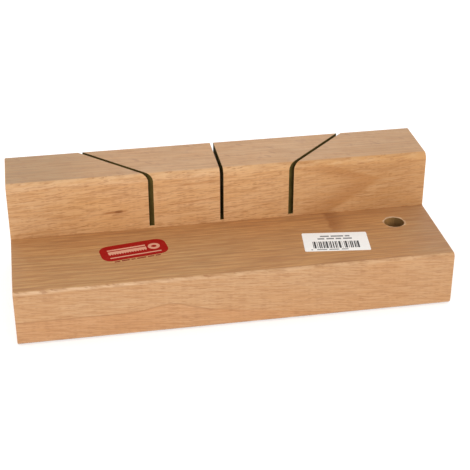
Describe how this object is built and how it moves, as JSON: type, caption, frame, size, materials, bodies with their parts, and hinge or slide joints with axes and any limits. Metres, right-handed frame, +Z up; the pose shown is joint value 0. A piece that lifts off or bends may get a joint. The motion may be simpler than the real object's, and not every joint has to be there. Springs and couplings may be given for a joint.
{
  "type": "mitre block",
  "caption": "Beech mitre block: an L-shaped saw guide with a base and a rear fence, kerfed for square and 45 degree cuts, and a hole to hang or peg it.",
  "frame": {"origin": "middle of the bottom face, under the middle of the block's length and depth", "axes": "+X along the block to the right, -Y the front edge away from the fence, +Z up"},
  "size_m": [0.25, 0.099, 0.0688],
  "materials": {
    "beech": "planed, unfinished",
    "zinc_steel": "zinc plated",
    "label_paper": "smooth matt",
    "red_ink": "matt printed ink"
  },
  "bodies": {
    "root": {"base_board": "beech", "fence_strip": "beech", "fence_left_end": "beech", "fence_left_middle": "beech", "fence_right_middle": "beech", "fence_right_end": "beech", "fence_screw_1": "zinc_steel", "fence_screw_2": "zinc_steel", "fence_screw_3": "zinc_steel", "fence_screw_4": "zinc_steel", "paper_label": "label_paper", "printed_mark": "red_ink"}
  },
  "joints": []
}
